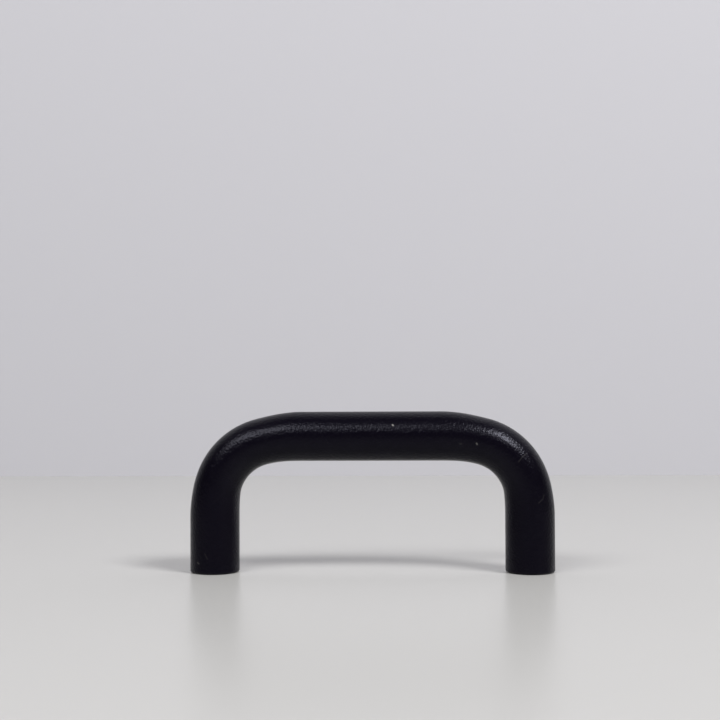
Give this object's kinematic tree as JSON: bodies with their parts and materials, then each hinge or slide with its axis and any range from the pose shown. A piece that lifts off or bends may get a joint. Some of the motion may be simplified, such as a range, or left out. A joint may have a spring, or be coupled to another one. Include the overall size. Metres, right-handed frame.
{
  "type": "u-shaped cabinet pull",
  "caption": "U-shaped cabinet or drawer pull: a round bar with softly eased bends and a fine matte black powder coat, fixed by a machine screw up each foot.",
  "frame": {"origin": "on the mounting face, midway between the two feet", "axes": "+X along the grip, +Z out of the mounting face towards the grip, Y across the bar"},
  "size_m": [0.074, 0.01, 0.0325],
  "materials": {
    "black_powder_coat": "matte, with a fine even grain"
  },
  "bodies": {
    "root": {"pull_bar": "black_powder_coat"}
  },
  "joints": []
}
